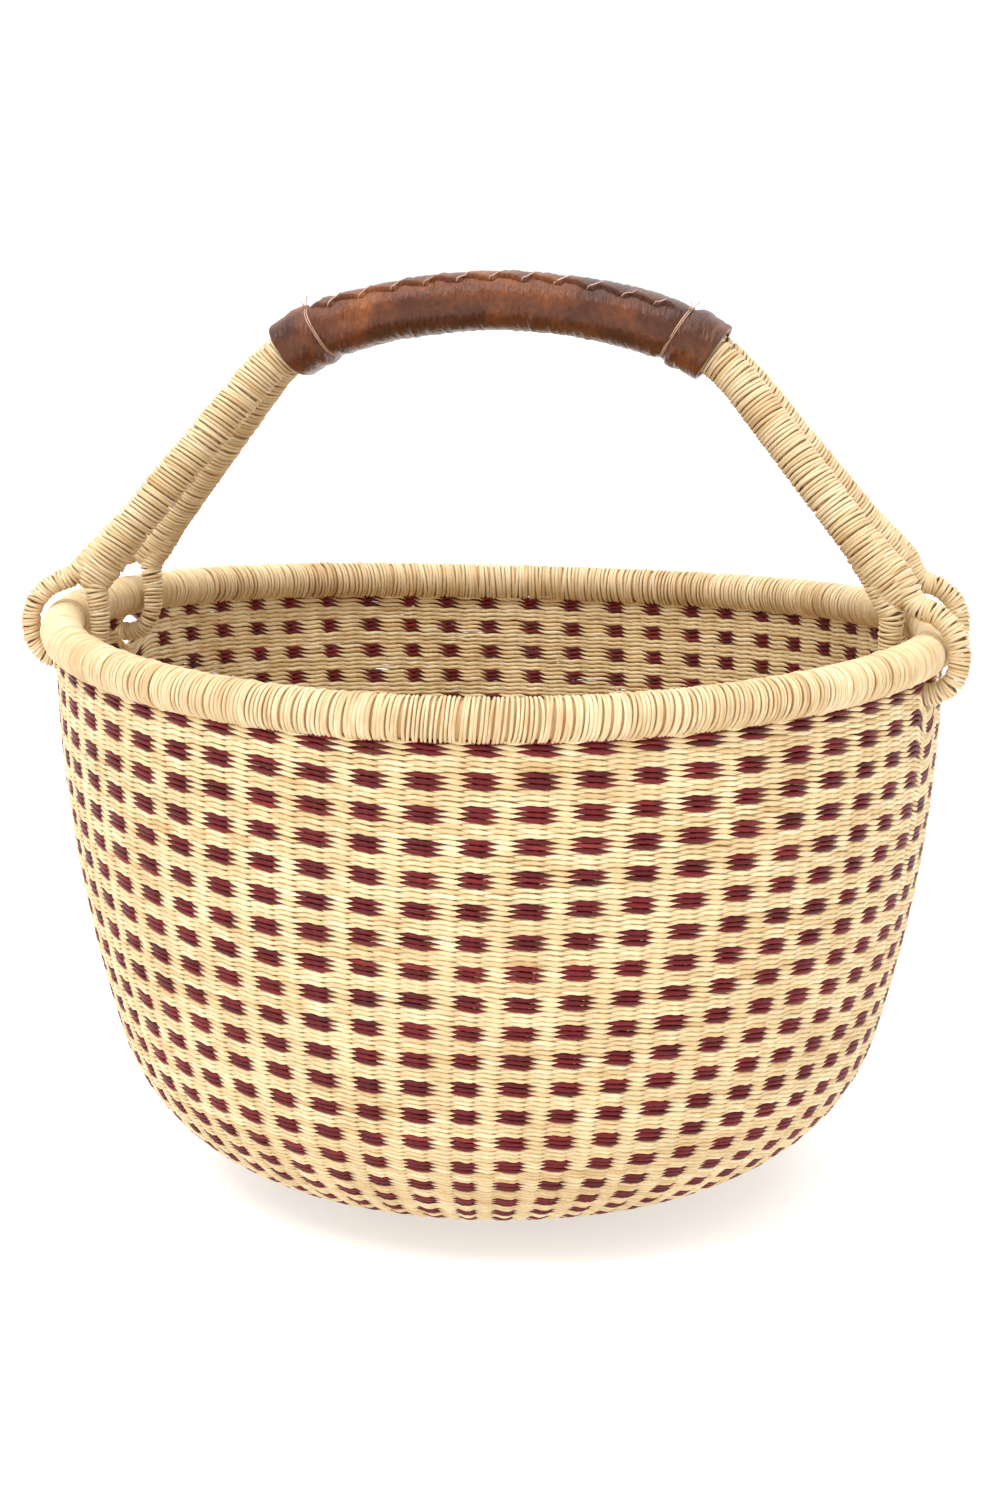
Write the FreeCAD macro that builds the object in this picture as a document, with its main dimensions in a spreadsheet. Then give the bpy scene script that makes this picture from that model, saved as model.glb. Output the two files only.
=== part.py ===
"""Round market basket with a rocking two-bundle bail handle.

Own frame: +Z up, origin at the centre of the flat patch that the basket stands on.
The handle spans the mouth along X. Front is -Y, left is -X. Lengths are in millimetres.
"""
import FreeCAD, Part
import math
import os
import Sketcher

Vector = FreeCAD.Vector
UP = Vector(0, 0, 1)
ACROSS = Vector(0, 1, 0)
ORIGIN = Vector(0, 0, 0)

DIMENSIONS = [
    # The outer profile: a flat patch, then three arcs that are tangent to each other.
    ("flat_radius", 45, "radius of the flat patch that the basket stands on"),
    ("floor_radius", 227.2, "arc radius of the floor's gentle rise"),
    ("floor_angle", 18.8, "degrees that the floor's arc turns"),
    ("corner_radius", 86.8, "arc radius of the turn from floor to wall"),
    ("corner_angle", 54.3, "degrees that the corner's arc turns"),
    ("wall_radius", 559, "arc radius of the wall's gentle belly"),
    ("wall_top", 247, "height where the wall ends, inside the rim roll"),
    # The wall's make-up, from outside to inside.
    ("weft_layer", 2.0, "thickness of the weft strands on each side of the stakes"),
    ("stake_gap", 2.2, "room between the two weft layers"),
    ("dyed_depth", 1.0, "thickness of the dyed strand in a dyed band"),
    ("band_pitch", 13.0, "distance from one dyed band to the next, along the wall"),
    ("band_height", 6.5, "height of one dyed band"),
    ("first_band", 11.8, "distance from the wall's top down to the first dyed band"),
    ("band_count", 28, "dyed bands from the rim to the middle of the floor"),
    # The stakes that the weft is twined round.
    ("stake_radius", 1.0, "radius of one stake"),
    ("stake_count", 112, "stakes that reach the rim"),
    ("long_stake_start", 22.5, "distance from the middle where a long stake starts"),
    ("added_stake_start", 70, "distance from the middle where an added stake starts"),
    ("stake_top_gap", 15.7, "distance left between the stake ends and the wall's top"),
    ("hub_radius", 20, "radius of the crossed stakes in the middle of the floor"),
    ("hub_thickness", 1.8, "thickness of the crossed stakes"),
    # The rim roll.
    ("rim_radius", 194.5, "radius of the rim roll's centre line"),
    ("rim_height", 246.2, "mean height of the rim roll's centre line"),
    ("rim_saddle", 3.9, "how far the rim rises towards the handle's ends and dips between them"),
    ("rim_lean", 2.2, "how much higher than the mean the rim is at the left, and lower at the right"),
    ("rim_knots", 24, "points that the rim's centre line passes through"),
    ("rim_roll_radius", 9.3, "outer radius of the wrapped rim roll"),
    ("wrap_thickness", 1.7, "thickness of the wound straw on rim, legs and loops"),
    ("snug_gap", 0.1, "gap between a wrap and what it is wound on"),
    # The four loops that hold the handle to the rim.
    ("loop_strand_radius", 4.4, "outer radius of a loop's strand"),
    ("loop_stake", 4, "stakes between the handle's plane and a loop"),
    ("loop_outer_reach", 14.8, "from the rim's centre line out to a loop's centre line"),
    ("loop_inner_reach", 15.3, "from the rim's centre line in to a loop's centre line"),
    ("loop_drop", 17, "from the rim's centre line down to a loop's centre line"),
    ("loop_rise", 27, "from the rim's centre line up to a loop's centre line"),
    ("loop_top_radius", 8, "bend radius at the top of a loop"),
    ("slot_width", 12.8, "width of the slot in the wall that a loop passes through"),
    ("slot_drop", 24.5, "from the rim's centre line down to the bottom of that slot"),
    # The handle's two bundles.
    ("bundle_radius", 8.8, "outer radius of a wrapped bundle"),
    ("bundle_offset", 10, "from the handle's plane to a bundle's centre line in the grip"),
    ("crown_height", 393, "height of the bundles' centre line in the middle of the grip"),
    ("crown_radius", 235, "arc radius of the middle of the grip"),
    ("crown_half_angle", 18, "degrees from the middle of the grip to the start of a leg's bend"),
    ("leg_bend_run", 24, "tangent length of the bend between grip and leg"),
    ("fork_radius", 181.3, "distance of a fork from the basket's axis"),
    ("fork_height", 274.2, "height of a fork"),
    # The leather grip and its threads.
    ("sleeve_bend_radius", 85, "arc radius of the sleeve's ends, which follow the legs' bends"),
    ("sleeve_bend_angle", 16, "degrees that each end of the sleeve turns"),
    ("sleeve_bore", 10.2, "half height of the sleeve's inside"),
    ("leather_thickness", 3.4, "thickness of the padded leather"),
    ("thread_radius", 0.7, "radius of the tie thread"),
    ("tie_run", 80, "distance along the grip from its middle to a tie"),
    ("tie_turns", 2, "turns of thread in a tie"),
    ("tie_pitch", 1.7, "distance between a tie's turns"),
    ("stitch_radius", 0.6, "radius of the lacing thread"),
    ("stitch_length", 9.5, "length of one stitch"),
    ("stitch_count", 11, "stitches along the seam"),
    ("stitch_run", 70, "distance along the grip from its middle to the last stitch"),
    ("stitch_slant", 40, "degrees between a stitch and the seam"),
    ("seam_tilt", 45, "degrees from straight above the front bundle forward to the seam"),
]

document = FreeCAD.newDocument("Basket")
sheet = document.addObject("Spreadsheet::Sheet", "Dimensions")
for row, (alias, value, meaning) in enumerate(DIMENSIONS, start=1):
    sheet.set(f"A{row}", meaning)
    sheet.set(f"B{row}", str(value))
    sheet.setAlias(f"B{row}", alias)
document.recompute()


def size(alias):
    """The number that the sheet holds under this alias."""
    return float(sheet.get(alias))


def bound(item, property_name, expression):
    """Tie a property to the sheet; bare aliases in the expression are the sheet's."""
    words = []
    for word in expression.split():
        words.append(f"Dimensions.{word}" if word[0].isalpha() else word)
    item.setExpression(property_name, " ".join(words))


def solid_node(label, shape, angle=0, lift=0):
    """A sub-part whose shape is made with Part's own functions, turned about the axis and lifted."""
    item = document.addObject("Part::Feature", label)
    item.Shape = shape
    item.Placement = FreeCAD.Placement(UP * lift, FreeCAD.Rotation(UP, angle))
    return item


def pipe(path_edges, radius, start, direction):
    """A round tube of this radius along a path of tangent lines and arcs."""
    circle = Part.Circle(start, direction, radius).toShape()
    return Part.Wire(path_edges).makePipeShell([Part.Wire([circle])], True, False)


# ---------------------------------------------------------------- the profile

FLAT = size("flat_radius")
ARCS = []
turned = 0.0
centre = Vector(FLAT, 0, size("floor_radius"))
run_start = FLAT
for name, last_angle in (("floor", size("floor_angle")), ("corner", size("corner_angle")), ("wall", None)):
    radius = size(f"{name}_radius")
    if ARCS:
        # Each new centre lies on the line from the joint through the last centre.
        joint = ARCS[-1]["centre"] + Vector(math.sin(turned), 0, -math.cos(turned)) * ARCS[-1]["radius"]
        centre = joint + Vector(-math.sin(turned), 0, math.cos(turned)) * radius
    if last_angle is None:
        end = math.acos((centre.z - size("wall_top")) / radius)
    else:
        end = turned + math.radians(last_angle)
    length = radius * (end - turned)
    ARCS.append({"centre": centre, "radius": radius, "from": turned, "to": end,
                 "start": run_start, "stop": run_start + length})
    run_start += length
    turned = end
WALL_END = run_start


def profile_point(distance, depth):
    """The point at this distance along the outer profile, moved inwards by depth."""
    if distance <= FLAT:
        return Vector(distance, 0, depth)
    arc = next((a for a in ARCS if distance <= a["stop"]), ARCS[-1])
    angle = arc["from"] + (distance - arc["start"]) / arc["radius"]
    return arc["centre"] + Vector(math.sin(angle), 0, -math.cos(angle)) * (arc["radius"] - depth)


def profile_edges(first, last, depth):
    """Lines and arcs of the profile from one distance to a further one, moved in by depth."""
    edges = []
    if first < FLAT:
        stop = min(FLAT, last)
        edges.append(Part.LineSegment(profile_point(first, depth), profile_point(stop, depth)).toShape())
    for arc in ARCS:
        low = max(first, arc["start"])
        high = min(last, arc["stop"])
        if high - low > 1e-6:
            points = [profile_point(d, depth) for d in (low + 1e-9, (low + high) / 2, high)]
            edges.append(Part.Arc(*points).toShape())
    return edges


def turned_solid(edges):
    """Close the edges into a face in the XZ plane and turn it once round the axis."""
    face = Part.Face(Part.Wire(Part.__sortEdges__(edges)))
    return face.revolve(ORIGIN, UP, 360)


def straight(a, b):
    return Part.LineSegment(a, b).toShape()


# ------------------------------------------------------------ the woven wall

THICKNESS = 2 * size("weft_layer") + size("stake_gap")
BANDS = []
for index in range(int(size("band_count"))):
    upper = WALL_END - size("first_band") - index * size("band_pitch")
    BANDS.append((upper - size("band_height"), upper))
BANDS.reverse()


def layer_with_grooves(first, last, face_depth, groove_depth, back_depth):
    """A weft layer from one distance to a further one, whose face steps in to the groove
    depth along every dyed band."""
    edges = profile_edges(first, last, back_depth)
    edges.append(straight(profile_point(first, back_depth), profile_point(first, face_depth)))
    position = first
    for low, high in BANDS:
        if low > first and high < last:
            edges += profile_edges(position, low, face_depth)
            edges.append(straight(profile_point(low, face_depth), profile_point(low, groove_depth)))
            edges += profile_edges(low, high, groove_depth)
            edges.append(straight(profile_point(high, groove_depth), profile_point(high, face_depth)))
            position = high
    edges += profile_edges(position, last, face_depth)
    edges.append(straight(profile_point(last, face_depth), profile_point(last, back_depth)))
    return turned_solid(edges)


def plain_strip_under(band):
    """The middle of the plain strip below a dyed band, counted from the rim."""
    upper = WALL_END - size("first_band") - band * size("band_pitch")
    return upper - (size("band_height") + size("band_pitch")) / 2


def band_rings(outer_depth, inner_depth):
    """One ring for each dyed band, between two depths."""
    rings = []
    for low, high in BANDS:
        edges = profile_edges(low, high, outer_depth) + profile_edges(low, high, inner_depth)
        edges.append(straight(profile_point(low, outer_depth), profile_point(low, inner_depth)))
        edges.append(straight(profile_point(high, outer_depth), profile_point(high, inner_depth)))
        rings.append(turned_solid(edges))
    return rings


def rim_height_at(angle):
    """Height of the rim roll's centre line at this many degrees round the axis."""
    turn = math.radians(angle)
    return size("rim_height") + size("rim_saddle") * math.cos(2 * turn) - size("rim_lean") * math.cos(turn)


def rim_tube(radius):
    """A closed tube along the rim's centre line."""
    knots = int(size("rim_knots"))
    points = []
    for index in range(knots):
        angle = 360 * index / knots
        out = FreeCAD.Rotation(UP, angle).multVec(Vector(size("rim_radius"), 0, 0))
        points.append(out + UP * rim_height_at(angle))
    line = Part.BSplineCurve()
    line.interpolate(Points=points, PeriodicFlag=True)
    start, stop = line.FirstParameter, line.LastParameter
    half_way = (start + stop) / 2
    path = Part.Wire([line.toShape(start, half_way), line.toShape(half_way, stop)])
    circle = Part.Circle(points[0], line.tangent(start)[0], radius).toShape()
    # A fixed upward direction brings the section back to itself after one round.
    sweep = Part.BRepOffsetAPI.MakePipeShell(path)
    sweep.setBiNormalMode(UP)
    sweep.add(Part.Wire([circle]))
    sweep.build()
    sweep.makeSolid()
    return sweep.shape()


def room_for_rim_and_loops():
    """What the rim roll and the four loop slots take away from the wall."""
    pieces = [solid_node("rim_room", rim_tube(size("rim_roll_radius") + size("snug_gap")))]
    for place, angle in LOOP_ANGLES.items():
        slot = document.addObject("Part::Box", f"{place}_slot")
        bound(slot, "Length", "8 * weft_layer + 4 * stake_gap")
        bound(slot, "Width", "slot_width")
        bound(slot, "Height", "slot_drop")
        turn = FreeCAD.Rotation(UP, angle)
        bottom = rim_height_at(angle) - size("slot_drop")
        inner_face = size("rim_radius") + size("weft_layer") - slot.Length.Value
        corner = Vector(inner_face, -size("slot_width") / 2, bottom)
        slot.Placement = FreeCAD.Placement(turn.multVec(corner), turn)
        pieces.append(slot)
    room = document.addObject("Part::MultiFuse", "rim_and_loop_room")
    room.Shapes = pieces
    return room


def cut_layer(label, layer, room):
    item = document.addObject("Part::Cut", label)
    item.Base = layer
    item.Tool = room
    return item


STAKE_STEP = 360 / size("stake_count")
LOOP_TURN = size("loop_stake") * STAKE_STEP
LOOP_ANGLES = {
    "front_left": 180 + LOOP_TURN,
    "back_left": 180 - LOOP_TURN,
    "front_right": -LOOP_TURN,
    "back_right": LOOP_TURN,
}

# The outer weft is made in five rings, from the middle of the floor to the rim. Each limit is
# the plain strip under this dyed band, counted from the rim.
RING_LIMITS = [("floor_weft", 18), ("lower_corner_weft", 15), ("upper_corner_weft", 12),
               ("lower_wall_weft", 6), ("upper_wall_weft", None)]

rim_and_loop_room = room_for_rim_and_loops()
outer_rings = []
ring_start = 0
for label, band in RING_LIMITS:
    ring_stop = WALL_END if band is None else plain_strip_under(band)
    ring = layer_with_grooves(ring_start, ring_stop, 0, size("dyed_depth"), size("weft_layer"))
    if band is None:
        outer_rings.append(cut_layer(label, solid_node("upper_wall_layer", ring), rim_and_loop_room))
    else:
        outer_rings.append(solid_node(label, ring))
    ring_start = ring_stop
inner_layer = solid_node("inner_layer", layer_with_grooves(
    0, WALL_END, THICKNESS, THICKNESS - size("dyed_depth"), THICKNESS - size("weft_layer")))
dyed_layer = solid_node("dyed_layer", Part.makeCompound(
    band_rings(0, size("dyed_depth")) + band_rings(THICKNESS - size("dyed_depth"), THICKNESS)))
inner_weft = cut_layer("inner_weft", inner_layer, rim_and_loop_room)
dyed_weft = cut_layer("dyed_weft", dyed_layer, rim_and_loop_room)


# ----------------------------------------------------------------- the stakes

def stake(start, stop):
    """One stake in the XZ plane, midway between the weft layers."""
    depth = THICKNESS / 2
    first = profile_point(start, depth)
    second = profile_point(start + 1, depth)
    return pipe(profile_edges(start, stop, depth), size("stake_radius"), first, second - first)


def stake_group(one, indices):
    """Copies of one stake, each turned to its own place round the axis."""
    copies = []
    for index in indices:
        copy = one.copy()
        copy.rotate(ORIGIN, UP, index * STAKE_STEP)
        copies.append(copy)
    return Part.makeCompound(copies)


def distance_at_height(height):
    """Distance along the wall where the profile reaches this height."""
    arc = ARCS[-1]
    angle = math.acos((arc["centre"].z - height) / arc["radius"])
    return arc["start"] + (angle - arc["from"]) * arc["radius"]


stakes_in_all = int(size("stake_count"))
loop_indices = [round(angle / STAKE_STEP) % stakes_in_all for angle in LOOP_ANGLES.values()]
long_indices = [i for i in range(0, stakes_in_all, 2) if i not in loop_indices]
added_indices = [i for i in range(1, stakes_in_all, 2) if i not in loop_indices]
stake_top = WALL_END - size("stake_top_gap")
lowest_slot = min(rim_height_at(angle) for angle in LOOP_ANGLES.values()) - size("slot_drop")
slot_floor = distance_at_height(lowest_slot - 2 * size("stake_radius"))

long_stake = stake(size("long_stake_start"), stake_top)
added_stake = stake(size("added_stake_start"), stake_top)
loop_stake = stake(size("long_stake_start"), slot_floor)
long_stakes = solid_node("long_stakes", stake_group(long_stake, long_indices))
added_stakes = solid_node("added_stakes", stake_group(added_stake, added_indices))
loop_stakes = solid_node("loop_stakes", stake_group(loop_stake, loop_indices))

stake_hub = document.addObject("Part::Cylinder", "stake_hub")
bound(stake_hub, "Radius", "hub_radius")
bound(stake_hub, "Height", "hub_thickness")
bound(stake_hub, "Placement.Base.z", "weft_layer + stake_gap / 2 - hub_thickness / 2")


# -------------------------------------------------------------- the rim roll

roll = size("rim_roll_radius")
rim_bore = roll - size("wrap_thickness")
rim_core = solid_node("rim_core", rim_tube(rim_bore - size("snug_gap")))
rim_wrap = document.addObject("Part::Cut", "rim_wrap")
rim_wrap.Base = solid_node("rim_wrap_outside", rim_tube(roll))
rim_wrap.Tool = solid_node("rim_wrap_bore", rim_tube(rim_bore))


# ------------------------------------------------------------------ the loops

def loop_edges():
    """A loop's closed centre line in the XZ plane: a round bottom, a straight inner side,
    a small bend at the top and one large arc down the outside, each tangent to the next."""
    out = size("rim_radius") + size("loop_outer_reach")
    into = size("rim_radius") - size("loop_inner_reach")
    low_radius = (out - into) / 2
    low_centre = Vector((out + into) / 2, 0, size("rim_height") - size("loop_drop") + low_radius)
    bend = size("loop_top_radius")
    top_centre = Vector(into + bend, 0, size("rim_height") + size("loop_rise") - bend)
    width = out - top_centre.x
    height = top_centre.z - low_centre.z
    side_radius = (width ** 2 + height ** 2 - bend ** 2) / (2 * (width - bend))
    side_centre = Vector(out - side_radius, 0, low_centre.z)
    towards_top = math.atan2(top_centre.z - side_centre.z, top_centre.x - side_centre.x)

    def on(circle_centre, circle_radius, angle):
        return circle_centre + Vector(math.cos(angle), 0, math.sin(angle)) * circle_radius

    outermost = on(side_centre, side_radius, 0)
    meeting = on(side_centre, side_radius, towards_top)
    shoulder = on(top_centre, bend, math.pi)
    innermost = on(low_centre, low_radius, math.pi)
    return [
        Part.Arc(outermost, on(side_centre, side_radius, towards_top / 2), meeting).toShape(),
        Part.Arc(meeting, on(top_centre, bend, (towards_top + math.pi) / 2), shoulder).toShape(),
        straight(shoulder, innermost),
        Part.Arc(innermost, on(low_centre, low_radius, -math.pi / 2), outermost).toShape(),
    ]


def loop_tube(radius):
    edges = loop_edges()
    return pipe(edges, radius, edges[0].Vertexes[0].Point, UP)


def rim_lift(angle):
    """How far the rim's centre line is above its mean height at a loop."""
    return rim_height_at(angle) - size("rim_height")


def placed(shape, angle):
    """A copy of a loop's shape, turned and lifted to its place on the rim."""
    copy = shape.copy()
    copy.rotate(ORIGIN, UP, angle)
    copy.translate(UP * rim_lift(angle))
    return copy


strand = size("loop_strand_radius")
loop_core_radius = strand - size("wrap_thickness") + size("snug_gap")
loop_core_shape = loop_tube(loop_core_radius)
loop_outer_shape = loop_tube(strand)
loop_wrap_shape = loop_outer_shape.cut(loop_tube(loop_core_radius + size("snug_gap")))
loop_room_shape = loop_tube(strand + size("snug_gap"))
loops = []
for place, angle in LOOP_ANGLES.items():
    loops.append(solid_node(f"{place}_loop_core", loop_core_shape, angle, rim_lift(angle)))
    loops.append(solid_node(f"{place}_loop_wrap", loop_wrap_shape, angle, rim_lift(angle)))


# ---------------------------------------------------------------- the bundles

CROWN_CENTRE = Vector(0, 0, size("crown_height") - size("crown_radius"))


def bundle_edges(side):
    """One bundle's centre line from the left fork over the grip to the right fork.
    Side is -1 for the front bundle and +1 for the back one."""
    angle = math.radians(size("crown_half_angle"))
    offset = Vector(0, side * size("bundle_offset"), 0)
    crown = size("crown_radius")
    right_end = CROWN_CENTRE + offset + Vector(math.sin(angle), 0, math.cos(angle)) * crown
    along = Vector(math.cos(angle), 0, -math.sin(angle))
    corner = right_end + along * size("leg_bend_run")
    loop_turn = math.radians(LOOP_TURN)
    fork = Vector(size("fork_radius") * math.cos(loop_turn), side * size("fork_radius") * math.sin(loop_turn),
                  size("fork_height"))
    down = (fork - corner).normalize()
    half_turn = along.getAngle(down) / 2
    bend_radius = size("leg_bend_run") / math.tan(half_turn)
    leg_start = corner + down * size("leg_bend_run")
    inward = (down - along).normalize()
    bend_middle = corner + inward * (bend_radius / math.cos(half_turn) - bend_radius)

    def mirrored(point):
        return Vector(-point.x, point.y, point.z)

    top = CROWN_CENTRE + offset + Vector(0, 0, crown)
    edges = [
        straight(mirrored(fork), mirrored(leg_start)),
        Part.Arc(mirrored(leg_start), mirrored(bend_middle), mirrored(right_end)).toShape(),
        Part.Arc(mirrored(right_end), top, right_end).toShape(),
        Part.Arc(right_end, bend_middle, leg_start).toShape(),
        straight(leg_start, fork),
    ]
    return edges, mirrored(fork), mirrored(leg_start) - mirrored(fork)


def bundle_tube(side, radius):
    edges, start, direction = bundle_edges(side)
    return pipe(edges, radius, start, direction)


bundle = size("bundle_radius")
bundle_bore = bundle - size("wrap_thickness")
bundles = []
for place, side in (("front", -1), ("back", 1)):
    passing_loops = [placed(loop_room_shape, LOOP_ANGLES[f"{place}_{end}"]) for end in ("left", "right")]
    core = bundle_tube(side, bundle_bore - size("snug_gap")).cut(passing_loops)
    wrap = bundle_tube(side, bundle).cut(bundle_tube(side, bundle_bore)).cut(passing_loops)
    bundles.append(solid_node(f"{place}_bundle_core", core))
    bundles.append(solid_node(f"{place}_bundle_wrap", wrap))


# ----------------------------------------------------------- the leather grip

def origin_plane(body, role):
    return next(item for item in body.Origin.OriginFeatures if item.Role == role)


def add_slot(sketch, level_alias, half_height_expression, half_height):
    """A slot shape round both bundles, centred above the sketch's origin."""
    half = size("bundle_offset")
    level = size(level_alias)
    first = sketch.GeometryCount
    sketch.addGeometry([
        Part.LineSegment(Vector(-half, level + half_height, 0), Vector(half, level + half_height, 0)),
        Part.ArcOfCircle(Part.Circle(Vector(half, level, 0), UP, half_height), -math.pi / 2, math.pi / 2),
        Part.LineSegment(Vector(half, level - half_height, 0), Vector(-half, level - half_height, 0)),
        Part.ArcOfCircle(Part.Circle(Vector(-half, level, 0), UP, half_height), math.pi / 2, 3 * math.pi / 2),
    ], False)
    top, right, bottom, left = range(first, first + 4)
    sketch.addConstraint([
        Sketcher.Constraint("Tangent", top, 2, right, 2),
        Sketcher.Constraint("Tangent", right, 1, bottom, 1),
        Sketcher.Constraint("Tangent", bottom, 2, left, 2),
        Sketcher.Constraint("Tangent", left, 1, top, 1),
        Sketcher.Constraint("Horizontal", top),
    ])
    radius = sketch.addConstraint(Sketcher.Constraint("Radius", right, half_height))
    across = sketch.addConstraint(Sketcher.Constraint("DistanceX", -1, 1, right, 3, half))
    back = sketch.addConstraint(Sketcher.Constraint("DistanceX", left, 3, -1, 1, half))
    rise = sketch.addConstraint(Sketcher.Constraint("DistanceY", -1, 1, right, 3, level))
    bound(sketch, f"Constraints[{radius}]", half_height_expression)
    bound(sketch, f"Constraints[{across}]", "bundle_offset")
    bound(sketch, f"Constraints[{back}]", "bundle_offset")
    bound(sketch, f"Constraints[{rise}]", level_alias)


def bend_centre(side):
    """Centre of the arc that one end of the sleeve follows."""
    angle = side * math.radians(size("crown_half_angle"))
    inside = size("crown_radius") - size("sleeve_bend_radius")
    return CROWN_CENTRE + Vector(math.sin(angle), 0, math.cos(angle)) * inside


def sleeve_stretch(body, name, centre, turn, radius_alias):
    """A stretch of the sleeve: the slot shape, tilted by turn, revolved about this centre."""
    section = body.newObject("Sketcher::SketchObject", f"{name}_section")
    section.AttachmentSupport = [(origin_plane(body, "YZ_Plane"), "")]
    section.MapMode = "FlatFace"
    tilt = FreeCAD.Rotation(Vector(1, 0, 0), turn)
    section.AttachmentOffset = FreeCAD.Placement(Vector(centre.y, centre.z, centre.x), tilt)
    outside = size("sleeve_bore") + size("leather_thickness")
    add_slot(section, radius_alias, "sleeve_bore + leather_thickness", outside)
    add_slot(section, radius_alias, "sleeve_bore", size("sleeve_bore"))
    document.recompute()
    stretch = body.newObject("PartDesign::Revolution", name)
    stretch.Profile = section
    stretch.ReferenceAxis = (section, ["H_Axis"])
    return stretch


def leather_sleeve():
    """The sleeve: a long arc over the grip, and a tighter one at each end."""
    body = document.addObject("PartDesign::Body", "leather_grip")
    middle = sleeve_stretch(body, "grip_middle", CROWN_CENTRE, 0, "crown_radius")
    middle.Midplane = True
    bound(middle, "Angle", "2 * crown_half_angle")
    for name, side in (("grip_left_end", -1), ("grip_right_end", 1)):
        turn = side * size("crown_half_angle")
        end = sleeve_stretch(body, name, bend_centre(side), turn, "sleeve_bend_radius")
        end.Reversed = side < 0
        bound(end, "Angle", "sleeve_bend_angle")
    body.Tip = end
    return body


leather_grip = leather_sleeve()


# ---------------------------------------------------------------- the threads

def along_grip(shape, distance):
    """Carry a shape from the middle of the grip to this distance along its centre line."""
    crown_run = math.radians(size("crown_half_angle")) * size("crown_radius")
    side = 1 if distance > 0 else -1
    middle = CROWN_CENTRE + UP * size("crown_radius")
    if abs(distance) <= crown_run:
        centre = CROWN_CENTRE
        radius = size("crown_radius")
        turn = distance / radius
    else:
        centre = bend_centre(side)
        radius = size("sleeve_bend_radius")
        turn = side * (math.radians(size("crown_half_angle")) + (abs(distance) - crown_run) / radius)
    copy = shape.copy()
    copy.translate(middle.negative())
    copy.rotate(ORIGIN, ACROSS, math.degrees(turn))
    copy.translate(centre + Vector(math.sin(turn), 0, math.cos(turn)) * radius)
    return copy


def tie_turn():
    """One closed turn of thread round the sleeve, at the middle of the grip."""
    half = size("bundle_offset")
    reach = size("sleeve_bore") + size("leather_thickness") + size("thread_radius") + size("snug_gap")
    level = size("crown_height")
    corners = [Vector(0, y, z) for y, z in ((-half, level + reach), (half, level + reach),
                                            (half, level - reach), (-half, level - reach))]
    edges = [
        straight(corners[0], corners[1]),
        Part.Arc(corners[1], Vector(0, half + reach, level), corners[2]).toShape(),
        straight(corners[2], corners[3]),
        Part.Arc(corners[3], Vector(0, -half - reach, level), corners[0]).toShape(),
    ]
    return pipe(edges, size("thread_radius"), corners[0], ACROSS)


def tie(side):
    one = tie_turn()
    turns = int(size("tie_turns"))
    places = [side * size("tie_run") + (index - (turns - 1) / 2) * size("tie_pitch") for index in range(turns)]
    return Part.makeCompound([along_grip(one, place) for place in places])


def lacing():
    """Slanting stitches along the seam, which runs along the front of the sleeve near its top."""
    outside = size("sleeve_bore") + size("leather_thickness")
    height = outside + size("stitch_radius") + size("snug_gap")
    slant = math.radians(size("stitch_slant"))
    direction = Vector(math.cos(slant), math.sin(slant), 0)
    start = Vector(0, 0, height) - direction * (size("stitch_length") / 2)
    one = Part.makeCylinder(size("stitch_radius"), size("stitch_length"), start, direction)
    one.rotate(ORIGIN, Vector(1, 0, 0), size("seam_tilt"))
    one.translate(Vector(0, -size("bundle_offset"), size("crown_height")))
    count = int(size("stitch_count"))
    span = 2 * size("stitch_run")
    places = [span * (index / (count - 1) - 0.5) for index in range(count)]
    return Part.makeCompound([along_grip(one, place) for place in places])


left_grip_tie = solid_node("left_grip_tie", tie(-1))
right_grip_tie = solid_node("right_grip_tie", tie(1))
grip_lacing = solid_node("grip_lacing", lacing())


# -------------------------------------------------------------------- writing

NODES = outer_rings + [inner_weft, dyed_weft, stake_hub, long_stakes, added_stakes, loop_stakes]
NODES += [rim_core, rim_wrap] + loops + bundles
NODES += [leather_grip, grip_lacing, left_grip_tie, right_grip_tie]

document.recompute()
for item in document.Objects:
    if "Invalid" in item.State or "Error" in item.State:
        raise RuntimeError(f"{item.Label} could not be made: {item.State}")

os.makedirs("parts", exist_ok=True)
for node in NODES:
    if node.Shape.isNull() or not node.Shape.isValid():
        raise RuntimeError(f"{node.Label} has no valid shape")

for node in NODES:
    node.Shape.exportStep(f"parts/{node.Label}.step")
    print(f"{node.Label}: {len(node.Shape.Solids)} solids, {node.Shape.Volume / 1000:.1f} cm3")
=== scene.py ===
"""Round market basket: pair-twined straw wall, wound rim roll, wound bail handle with a leather grip.

Lengths in this script are in millimetres until a mesh is made, which divides them by a thousand.
"""
import math

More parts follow.
